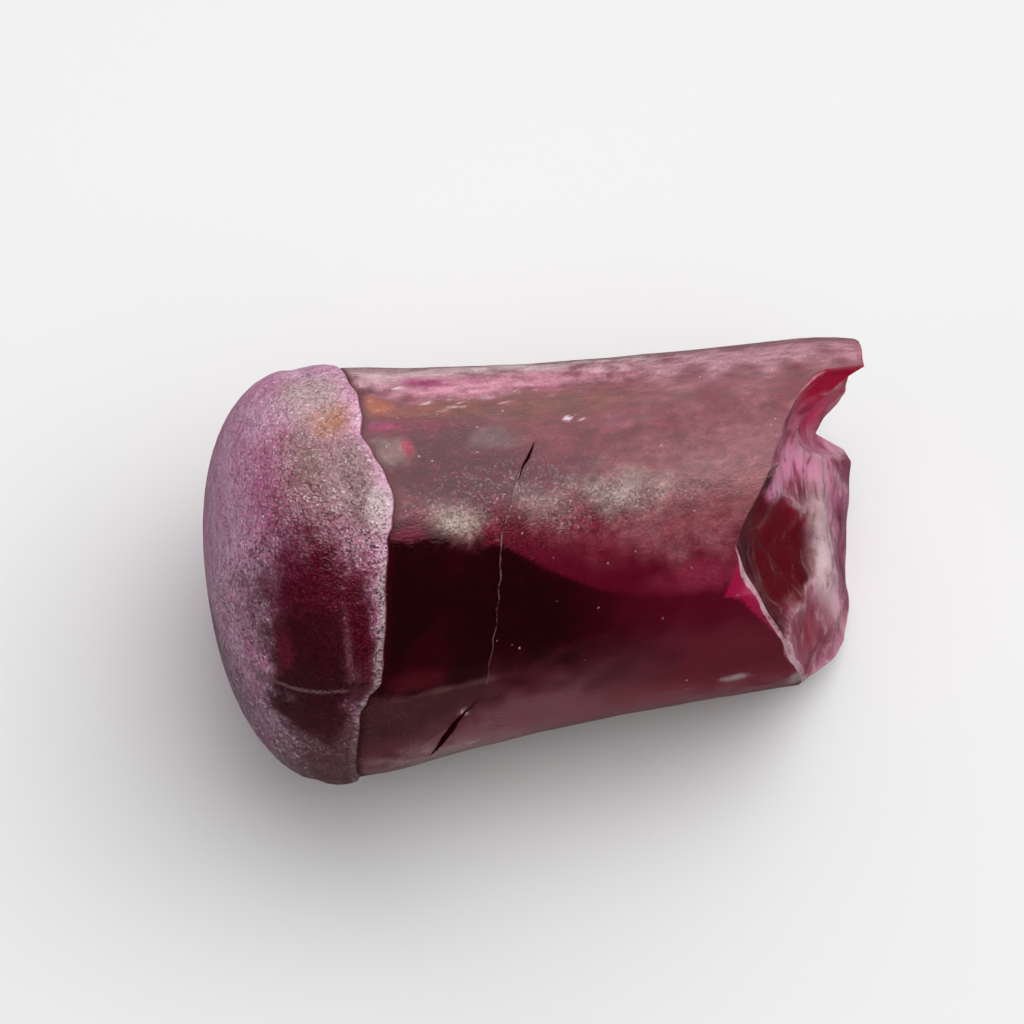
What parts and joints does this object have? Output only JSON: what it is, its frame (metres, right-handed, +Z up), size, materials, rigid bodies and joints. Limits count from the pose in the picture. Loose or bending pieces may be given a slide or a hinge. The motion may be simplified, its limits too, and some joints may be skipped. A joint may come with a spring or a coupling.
{
  "type": "raw ruby crystal",
  "caption": "Broken length of flame-grown ruby boule lying on its side, with a frosted domed crown, a glassy tapering body and a conchoidal broken end.",
  "frame": {"origin": "centre of the bounding box's underside, on the surface that the crystal lies on", "axes": "+X runs along the boule from the domed crown to the broken end, +Y across it, +Z up; the boule's own axis dips about 4 degrees towards +X"},
  "size_m": [0.033, 0.02, 0.0198],
  "materials": {
    "ruby": "satin"
  },
  "bodies": {
    "root": {"boule": "ruby"}
  },
  "joints": []
}
